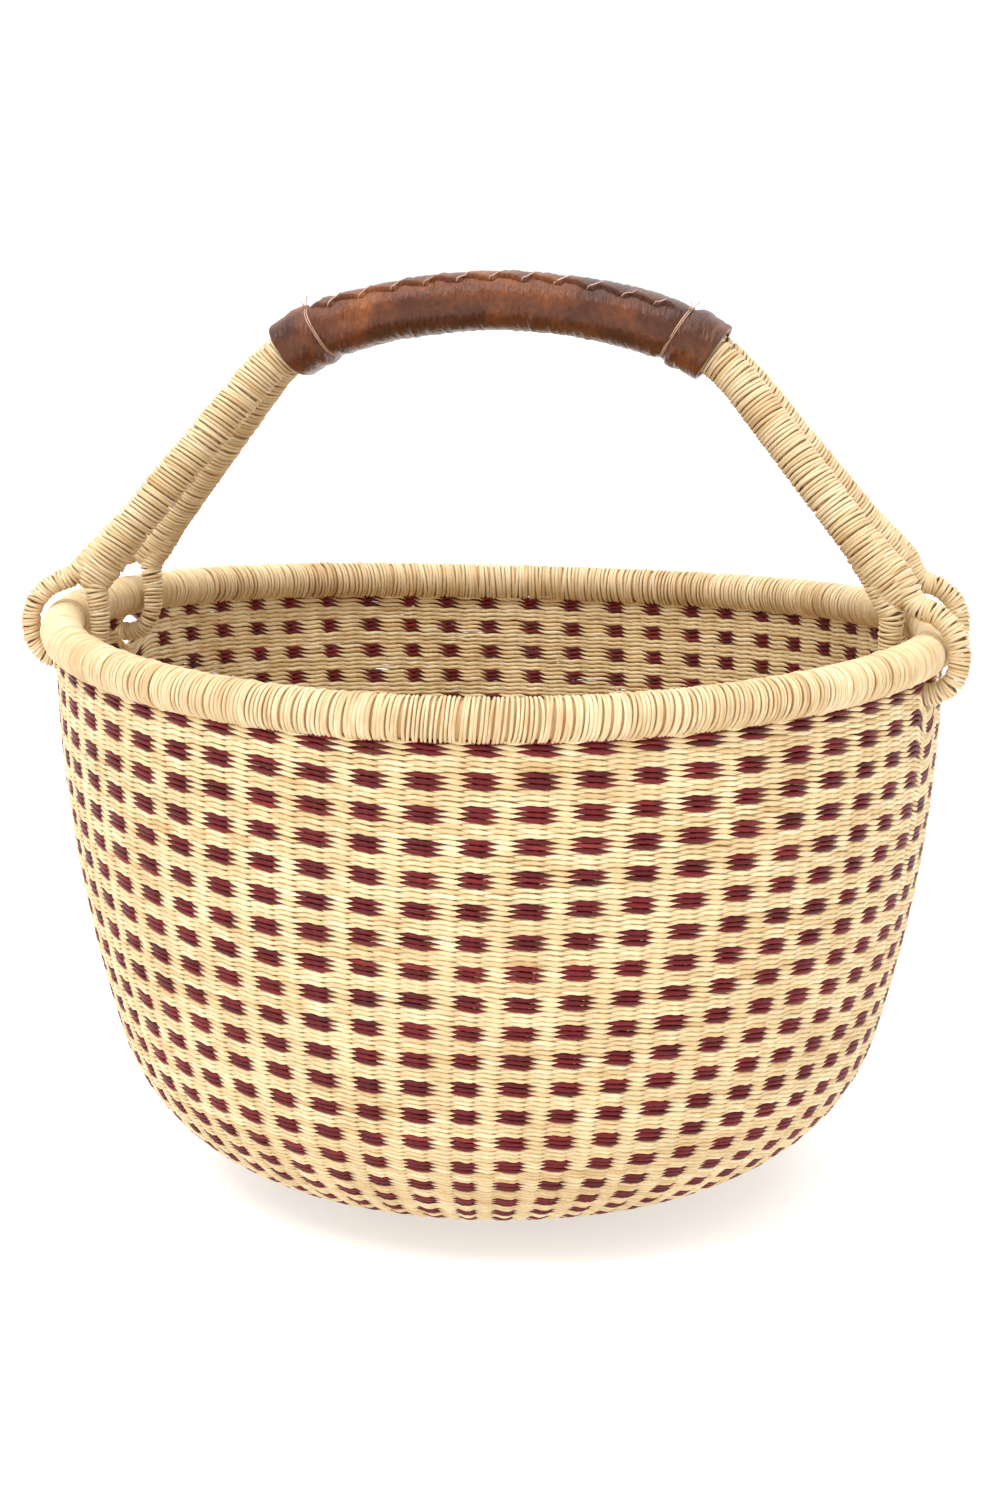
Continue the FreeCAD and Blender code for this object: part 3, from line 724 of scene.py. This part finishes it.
def handle_windings():
    """The wound legs with their cores, and the wound loops, as pieces for each end."""
    pieces = {}
    for index, (place, angle) in enumerate(LOOP_ANGLES.items()):
        side = -1 if place.startswith("front") else 1
        end = -1 if place.endswith("left") else 1
        path, fork, up = bundle_path(side, end)
        outward = np.array([math.cos(angle), math.sin(angle), 0.0])
        rim_centre = outward * RIM_RADIUS + [0, 0, rim_height(angle)]
        total = resampled(path, 0.5)[1][-1]
        wide = leg_radius(total, FORK_GROWTH[0], TAIL_CLOSING[0])
        narrow = leg_radius(total, FORK_GROWTH[1], TAIL_CLOSING[1])
        name = f"{place}_leg_winding"
        pieces[name] = one_tube(name, *winding(path, outward, wide, narrow, LEG_STRAW, 100 + index))
        name = f"{place}_leg_core"
        rings = core_tube(path, outward, wide, narrow)
        pieces[name] = one_tube(name, rings, np.full(len(rings), CORE_SHADE))
        loop = loop_path(outward, rim_centre, fork, up)
        tangent = np.array([-outward[1], outward[0], 0.0])
        thick = loop_radius(resampled(loop, 0.5)[1][-1], LOOP_STRANDS[place])
        name = f"{place}_loop_winding"
        pieces[name] = one_tube(name, *winding(loop, tangent, thick, thick, LOOP_STRAW, 200 + index))
    return pieces


# --------------------------------------------------------------- the leather grip

def grid_object(name, rings):
    """A smooth closed tube from rings of points, with a plain map for the bake."""
    count, around = rings.shape[:2]
    here = np.arange(count - 1)
    side = np.arange(around)
    beside = (side + 1) % around
    a = here[:, None] * around + side
    b = here[:, None] * around + beside
    c = (here[:, None] + 1) * around + beside
    d = (here[:, None] + 1) * around + side
    mesh = quad_mesh(name, rings.reshape(-1, 3), np.stack([a, b, c, d], axis=-1).reshape(-1, 4))
    u = (here[:, None] + 0 * side)[..., None] + np.array([0, 0, 1, 1])
    v = (0 * here[:, None] + side)[..., None] + np.array([0, 1, 1, 0])
    add_map(mesh, "OFBake", u / (count - 1), v / around)
    return linked_object(name, mesh)


NOISE_TABLE = 257


def value_noise(x, y, seed, period_y=None):
    """Smooth noise on a plane, from -1 to 1; it may repeat along y."""
    table = np.random.default_rng(seed).uniform(-1, 1, (NOISE_TABLE, NOISE_TABLE))
    xi, yi = np.floor(x).astype(int), np.floor(y).astype(int)
    fx, fy = eased(x - xi), eased(y - yi)
    next_y = yi + 1
    if period_y:
        yi, next_y = yi % period_y, next_y % period_y
    here, after = xi % NOISE_TABLE, (xi + 1) % NOISE_TABLE
    yi, next_y = yi % NOISE_TABLE, next_y % NOISE_TABLE
    first = table[here, yi] * (1 - fx) + table[after, yi] * fx
    second = table[here, next_y] * (1 - fx) + table[after, next_y] * fx
    return first * (1 - fy) + second * fy


STITCH_COUNT = 11
STITCH_HALF = 70.0
STITCH_PITCH = 2 * STITCH_HALF / (STITCH_COUNT - 1)
TIE_RUN = 80.0
TIE_TILT = 2.2
# The seam runs along the front of the sleeve, near its top; SEAM_SCALE turns a turn round
# the sleeve there into a distance.
SEAM = QUARTER + 0.75
SEAM_SCALE = 21.4
SLEEVE_ROWS = 372
SLEEVE_AROUND = 256
SLEEVE_POWER = 2.6
# How the leather's end rolls in: its size against the sleeve's end, and how far beyond it.
LIP = [(0.985, 0.55), (0.95, 0.95), (0.90, 1.0), (0.865, 0.6), (0.85, -0.6), (0.85, -7.0)]


def grip_point(run, across, level):
    """A point round the grip: run is the distance along its centre line from its middle,
    across the handle's plane, and level above the bundles' centre line."""
    in_crown = np.minimum(np.abs(run), CROWN_RUN)
    beyond = np.maximum(np.abs(run) - CROWN_RUN, 0)
    turn = in_crown / CROWN_RADIUS + beyond / SLEEVE_BEND
    inside = np.where(beyond > 0, CROWN_RADIUS - SLEEVE_BEND, 0)
    radius = CROWN_RADIUS - inside + level
    x = np.sign(run) * (inside * math.sin(CROWN_HALF) + radius * np.sin(turn))
    z = CROWN_CENTRE + inside * math.cos(CROWN_HALF) + radius * np.cos(turn)
    return np.stack([x, across + 0 * x, z], axis=-1)


def tie_line(turn, side):
    """Distance along the grip of the tilted tie line at a turn round it."""
    return side * (TIE_RUN + TIE_TILT * np.sin(turn))


def sleeve_section(turn, size):
    """A rounded slot shape: half width and half height for a section angle; turn 0 is
    towards the back and a quarter turn is on top."""
    cos, sin = np.cos(turn), np.sin(turn)
    scale = (np.abs(cos) ** SLEEVE_POWER + np.abs(sin) ** SLEEVE_POWER) ** (-1 / SLEEVE_POWER)
    return (BUNDLE_OFFSET + size) * cos * scale, size * sin * scale


def seam_edge(run):
    """How far above the seam line the upper leather's edge lies: it falls towards each stitch
    and starts again higher up after it."""
    height, rise = 1.7, 0.16
    phase = (run / STITCH_PITCH) % 1
    fall = np.where(phase < rise, phase / rise, 1 - (phase - rise) / (1 - rise))
    return height * (2 * eased(fall) - 1)


def sleeve_size(run, turn):
    """Half height of the leather at a distance along it and a section angle, apart from its
    fine wrinkles."""
    wrap = turn / TAU
    size = SLEEVE_OUTSIDE - 0.7 + 0.45 * value_noise(run / 26, wrap * 5, 3, 5)
    # The ties pinch the leather and the ends puff out beyond them.
    for side in (-1, 1):
        from_tie = run - tie_line(turn, side)
        size = size - 1.2 * np.exp(-(from_tie / 2.2) ** 2)
        beyond = np.clip(side * from_tie / 9, 0, 1)
        size = size + 1.3 * np.sin(beyond * math.pi * 0.8)
        pleats = value_noise(wrap * 17, run / 30, 17 + side)
        size = size + 0.6 * pleats * np.exp(-(from_tie / 7) ** 2)
    # The upper leather laps over the front leather, and puffs up between the stitches.
    puff = np.abs(np.sin(math.pi * run / STITCH_PITCH)) ** 0.7
    above_edge = (SEAM - turn) * SEAM_SCALE - seam_edge(run)
    inside_ties = np.clip((TIE_RUN - np.abs(run)) / 6, 0, 1)
    lap = 1 / (1 + np.exp(-np.clip(above_edge / 0.25, -60, 60)))
    lap = lap * np.exp(-np.maximum(above_edge, 0) / 9)
    size = size + (0.8 + 1.0 * puff) * lap * inside_ties
    crease = np.exp(-((above_edge + 0.5) / 0.6) ** 2)
    return size - 1.3 * crease * inside_ties


def leather_sleeve():
    """The sleeve with its fine wrinkles, which run round it and are stronger in places."""
    turn = section(SLEEVE_AROUND)[None, :]
    run = np.linspace(-SLEEVE_HALF, SLEEVE_HALF, SLEEVE_ROWS)[:, None] + 0 * turn
    turn = turn + 0 * run
    wrap = turn / TAU
    size = sleeve_size(run, turn)
    bend = 0.5 * value_noise(run / 9, wrap * 6, 5, 6)
    wrinkle = value_noise(run / 1.7 + bend, wrap * 11, 7, 11)
    strength = np.clip(0.55 + 0.9 * value_noise(run / 12, wrap * 6, 11, 6), 0.1, 1.3)
    size = size + 0.42 * wrinkle * strength
    size = size + 0.18 * value_noise(run / 0.8, wrap * 19, 13, 19) * strength
    return close_sleeve(grip_point(run, *sleeve_section(turn, size)))


def close_sleeve(rings):
    """Rolls the leather's ends in towards the bundles, with the leather's own thickness."""
    centres = rings.mean(axis=1, keepdims=True)

    def lip(end, before):
        away = centres[end] - centres[before]
        away = away / np.linalg.norm(away)
        return [(centres[end] + (rings[end] - centres[end]) * shrink + away * forward)[None]
                for shrink, forward in LIP]

    whole = np.concatenate(lip(0, 1)[::-1] + [rings] + lip(-1, -2), axis=0)
    return grid_object("leather_sleeve", whole)


def thread(name, paths, radius):
    """Thin thread along each path."""
    strands = Strands(SIDES)
    turns = section(SIDES)[None, :, None]
    for path in paths:
        points = resampled(smooth_path(path, 8), 0.9)[0]
        tangent = unit(np.gradient(points, axis=0))
        one = np.cross(tangent, [0.0, 1.0, 0.0])
        weak = np.linalg.norm(one, axis=1) < 0.2
        one[weak] = np.cross(tangent[weak], [0.0, 0.0, 1.0])
        one = unit(one)
        two = np.cross(tangent, one)
        rings = (points[:, None, :] + radius * np.cos(turns) * one[:, None, :]
                 + radius * np.sin(turns) * two[:, None, :])
        strands.add(rings, np.full(len(points), random.random()), closed=False)
    return strands.mesh_object(name)


def surface_point(run, turn, above):
    """A point just above the leather at a distance along the grip and a turn round it."""
    run = np.asarray(run, float)
    turn = np.asarray(turn, float)
    return grip_point(run, *sleeve_section(turn, sleeve_size(run, turn % TAU) + above))


# One stitch: along the grip, up from the seam line, and above the leather.
STITCH_POINTS = [(-3.2, -2.9, -0.5), (-2.2, -2.0, 0.25), (0.2, 0.2, 0.40),
                 (2.6, 2.8, 0.35), (4.6, 6.0, 0.30), (6.0, 9.5, -0.5)]
LACING_RADIUS = 0.27
TIE_RADIUS = 0.26
KNOT_RADIUS = 1.1
# The knot's two loose ends: along the grip, and above the leather.
LOOSE_ENDS = ((1.9, 3.4), (-1.6, 2.6))


def lacing():
    """A thread that whips over the seam: one slanting stitch for each scallop."""
    paths = []
    for index in range(STITCH_COUNT):
        middle = -STITCH_HALF + (index + random.normal(0, 0.03)) * STITCH_PITCH
        length = random.uniform(0.50, 0.85)
        stitch = [surface_point(middle + along * length, SEAM - up * length / SEAM_SCALE, above)
                  for along, up, above in STITCH_POINTS]
        paths.append(np.array(stitch))
    return thread("seam_lacing", paths, LACING_RADIUS)


def tie(side, name):
    """Two turns of thread drawn tight round the leather, and a small knot on top."""
    paths = []
    for offset in (-0.40, 0.40):
        turn = np.linspace(0, TAU, 61) + QUARTER
        paths.append(surface_point(tie_line(turn, side) + offset, turn, 0.05 + 0.2 * np.cos(turn * 3)))
    run = tie_line(QUARTER, side)
    turn = QUARTER + 0.35
    steps = np.linspace(0, TAU * 1.6, 16)
    knot = [surface_point(run + KNOT_RADIUS * math.cos(step), turn + 0.06 * math.sin(step), 0.5 + 0.10 * step)
            for step in steps]
    paths.append(np.array(knot))
    for aside, rise in LOOSE_ENDS:
        paths.append(np.array([surface_point(run, turn, 1.0),
                               surface_point(run + aside * 0.5, turn - 0.03, 1.0 + rise * 0.6),
                               surface_point(run + aside, turn - 0.06, 1.0 + rise)]))
    return thread(name, paths, TIE_RADIUS)


# -------------------------------------------------------------------- materials

class Shader:
    """A new material's nodes, with short ways to add the ones used here."""

    def __init__(self, name):
        self.material = bpy.data.materials.new(name)
        self.material.use_nodes = True
        self.nodes = self.material.node_tree.nodes
        self.links = self.material.node_tree.links
        self.surface = self.nodes["Principled BSDF"]

    def set(self, **values):
        """Sets the surface's own sockets; an underscore stands for a space."""
        for name, value in values.items():
            self.surface.inputs[name.replace("_", " ")].default_value = value

    def link(self, source, name):
        self.links.new(source, self.surface.inputs[name])

    def ramp(self, source, stops):
        node = self.nodes.new("ShaderNodeValToRGB")
        elements = node.color_ramp.elements
        while len(elements) < len(stops):
            elements.new(0.5)
        for element, (position, colour) in zip(elements, stops):
            element.position = position
            element.color = (*colour, 1)
        self.links.new(source, node.inputs["Fac"])
        return node.outputs["Color"]

    def noise(self, place, scale, detail, distortion=0.0):
        node = self.nodes.new("ShaderNodeTexNoise")
        node.inputs["Scale"].default_value = scale
        node.inputs["Detail"].default_value = detail
        node.inputs["Distortion"].default_value = distortion
        self.links.new(place, node.inputs["Vector"])
        return node.outputs["Fac"]

    def stretched(self, place, scale):
        node = self.nodes.new("ShaderNodeMapping")
        node.inputs["Scale"].default_value = scale
        self.links.new(place, node.inputs["Vector"])
        return node.outputs["Vector"]

    def multiplied(self, first, second):
        node = self.nodes.new("ShaderNodeMix")
        node.data_type = "RGBA"
        node.blend_type = "MULTIPLY"
        node.inputs["Factor"].default_value = 1
        self.links.new(first, node.inputs["A"])
        self.links.new(second, node.inputs["B"])
        return node.outputs["Result"]

    def rough(self, source, low, high):
        node = self.nodes.new("ShaderNodeMapRange")
        node.inputs["To Min"].default_value = low
        node.inputs["To Max"].default_value = high
        self.links.new(source, node.inputs["Value"])
        self.link(node.outputs["Result"], "Roughness")

    def bump(self, source, strength, distance, under=None):
        node = self.nodes.new("ShaderNodeBump")
        node.inputs["Strength"].default_value = strength
        node.inputs["Distance"].default_value = distance
        self.links.new(source, node.inputs["Height"])
        if under:
            self.links.new(under, node.inputs["Normal"])
        return node.outputs["Normal"]

    def object_place(self):
        return self.nodes.new("ShaderNodeTexCoord").outputs["Object"]


# Fibres are long along the straw and fine across it.
FIBRE_STRETCH = (0.35, 14, 1)
TONES = [(0.30, (0.86, 0.80, 0.72)), (0.60, (1.0, 1.0, 1.0))]


def straw_material(name, stops, fibre_dark, roughness, coat, bump, gloss):
    """Straw: a shade for each straw, long fibres along it, and slow toning over the basket."""
    shader = Shader(name)
    shade = shader.nodes.new("ShaderNodeAttribute")
    shade.attribute_name = "shade"
    colours = shader.ramp(shade.outputs["Fac"], stops)
    fibre_map = shader.nodes.new("ShaderNodeUVMap")
    fibre_map.uv_map = "fibre"
    fibres = shader.noise(shader.stretched(fibre_map.outputs["UV"], FIBRE_STRETCH), 1.0, 3)
    streaks = shader.ramp(fibres, [(0.30, fibre_dark), (0.62, (1, 1, 1))])
    tones = shader.ramp(shader.noise(shader.object_place(), 45, 4), TONES)
    shader.link(shader.multiplied(shader.multiplied(colours, streaks), tones), "Base Color")
    shader.rough(fibres, roughness - 0.10, roughness + 0.14)
    shader.link(shader.bump(fibres, bump, 0.0004), "Normal")
    shader.set(Specular_IOR_Level=gloss, Coat_Weight=coat, Coat_Roughness=0.35)
    return shader.material


LEATHER = [(0.30, (0.050, 0.016, 0.007)), (0.46, (0.090, 0.027, 0.010)),
           (0.60, (0.160, 0.047, 0.014)), (0.76, (0.30, 0.095, 0.022))]
WORN = [(0.35, (0.78, 0.74, 0.72)), (0.65, (1.12, 1.08, 1.05))]
# Fine creases run round the grip, so their pattern is short along it and long across.
CREASE_STRETCH = (620, 110, 110)


def leather_material():
    """Brown goatskin: blotches of red-brown, fine grain, and a polish that varies."""
    shader = Shader("leather")
    place = shader.object_place()
    colours = shader.ramp(shader.noise(place, 38, 5, 0.6), LEATHER)
    grain = shader.nodes.new("ShaderNodeTexVoronoi")
    grain.inputs["Scale"].default_value = 900
    shader.links.new(place, grain.inputs["Vector"])
    fine = shader.noise(place, 420, 6)
    shader.link(shader.multiplied(colours, shader.ramp(fine, WORN)), "Base Color")
    shader.rough(fine, 0.22, 0.44)
    creases = shader.noise(shader.stretched(place, CREASE_STRETCH), 1.0, 3)
    pores = shader.bump(grain.outputs["Distance"], 0.30, 0.0003)
    shader.link(shader.bump(creases, 1.0, 0.0014, pores), "Normal")
    shader.set(Specular_IOR_Level=0.32)
    return shader.material


def floor_material():
    shader = Shader("pale_floor")
    shader.set(Base_Color=(0.60, 0.60, 0.60, 1), Roughness=0.6,
               Emission_Color=(1, 1, 1, 1), Emission_Strength=0.55)
    return shader.material


NATURAL = [(0.0, (0.62, 0.40, 0.20)), (0.30, (0.78, 0.58, 0.32)),
           (0.55, (0.87, 0.70, 0.43)), (0.85, (0.92, 0.80, 0.55))]
WOUND = [(0.0, (0.56, 0.35, 0.17)), (0.30, (0.72, 0.53, 0.30)),
         (0.55, (0.81, 0.65, 0.41)), (0.85, (0.87, 0.74, 0.51))]
DYED = [(0.0, (0.070, 0.004, 0.007)), (0.40, (0.13, 0.007, 0.010)),
        (0.75, (0.20, 0.013, 0.016)), (1.0, (0.30, 0.035, 0.032))]
THREAD = [(0.0, (0.55, 0.34, 0.25)), (1.0, (0.75, 0.52, 0.40))]

natural_straw = straw_material("natural_straw", NATURAL, (0.78, 0.70, 0.56), 0.50, 0.05, 0.35, 0.35)
dyed_straw = straw_material("dyed_straw", DYED, (0.55, 0.50, 0.50), 0.40, 0.03, 0.35, 0.22)
wound_straw = straw_material("wound_straw", WOUND, (0.78, 0.68, 0.54), 0.50, 0.05, 0.35, 0.35)
thread_fibre = straw_material("thread_fibre", THREAD, (0.70, 0.64, 0.60), 0.5, 0.05, 0.2, 0.35)
leather = leather_material()


# ------------------------------------------------------------------- assembling

def finish_piece(item, material, body, slot, *replaced):
    """Gives a piece its material and its body, and hides the nodes it stands for; slot is not used."""
    item.data.materials.clear()
    item.data.materials.append(material)
    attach(item, body)
    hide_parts(*replaced)


def build():
    for name, item in weave().items():
        if name.startswith("dyed"):
            finish_piece(item, dyed_straw, BASKET, "dyed_weft", "dyed_weft")
        else:
            finish_piece(item, natural_straw, BASKET, "natural_weft", *WEFT_NODES)
    finish_piece(stake_pieces(), natural_straw, BASKET, "stakes", *STAKE_NODES)
    finish_piece(rim_winding(), wound_straw, BASKET, "rim_wrap", "rim_wrap")
    for name, item in handle_windings().items():
        side = name.split("_")[0]
        if name.endswith("loop_winding"):
            loop = name.removesuffix("_winding")
            finish_piece(item, wound_straw, HANDLE, "handle_wrap", f"{loop}_wrap", f"{loop}_core")
        elif name.endswith("leg_winding"):
            finish_piece(item, wound_straw, HANDLE, "handle_wrap", f"{side}_bundle_wrap")
        else:
            finish_piece(item, natural_straw, HANDLE, "straw_core", f"{side}_bundle_core")
    finish_piece(leather_sleeve(), leather, HANDLE, "leather", "leather_grip")
    finish_piece(lacing(), thread_fibre, HANDLE, "thread", "grip_lacing")
    finish_piece(tie(-1, "left_tie_thread"), thread_fibre, HANDLE, "thread", "left_grip_tie")
    finish_piece(tie(1, "right_tie_thread"), thread_fibre, HANDLE, "thread", "right_grip_tie")
    for name in ("rim_core", "stake_hub"):
        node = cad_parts[name]
        node.data.materials.clear()
        node.data.materials.append(natural_straw)


build()


# ------------------------------------------------------- floor, light and camera

def make_floor():
    bpy.ops.mesh.primitive_plane_add(size=30, location=(0, 0, -0.0003))
    floor = bpy.context.active_object
    floor.name = "floor"
    floor.data.materials.append(floor_material())


def sun(name, towards, strength, spread):
    """A soft lamp far away; towards points from the basket to the lamp."""
    light = bpy.data.lights.new(name, "SUN")
    light.energy = strength
    light.angle = math.radians(spread)
    linked_object(name, light).rotation_euler = Vector(towards).to_track_quat("Z", "Y").to_euler()


def make_lights():
    sun("key", (-0.7, -0.6, 1.5), 0.55, 60)
    sun("window", (-0.55, -1.0, 1.4), 0.85, 12)
    sun("top", (0.0, -0.1, 1.5), 1.75, 80)
    world = bpy.data.worlds.new("studio")
    world.use_nodes = True
    world.node_tree.nodes["Background"].inputs["Color"].default_value = (1, 1, 1, 1)
    world.node_tree.nodes["Background"].inputs["Strength"].default_value = 1.0
    bpy.context.scene.world = world


CAMERA_AZIMUTH = math.radians(9.9)
CAMERA_ELEVATION = math.radians(11.32)
CAMERA_DISTANCE = 1.1784
CAMERA_TARGET = Vector((0, 0, 0.1922))


def make_camera():
    level = math.cos(CAMERA_ELEVATION)
    back = Vector((math.sin(CAMERA_AZIMUTH) * level, -math.cos(CAMERA_AZIMUTH) * level,
                   math.sin(CAMERA_ELEVATION)))
    data = bpy.data.cameras.new("camera")
    data.sensor_width = 36
    data.lens = 62.31
    camera = linked_object("camera", data)
    camera.location = CAMERA_TARGET + back * CAMERA_DISTANCE
    camera.rotation_euler = (-back).to_track_quat("-Z", "Y").to_euler()
    bpy.context.scene.camera = camera


make_floor()
make_lights()
make_camera()
bpy.context.scene.view_settings.view_transform = "Standard"
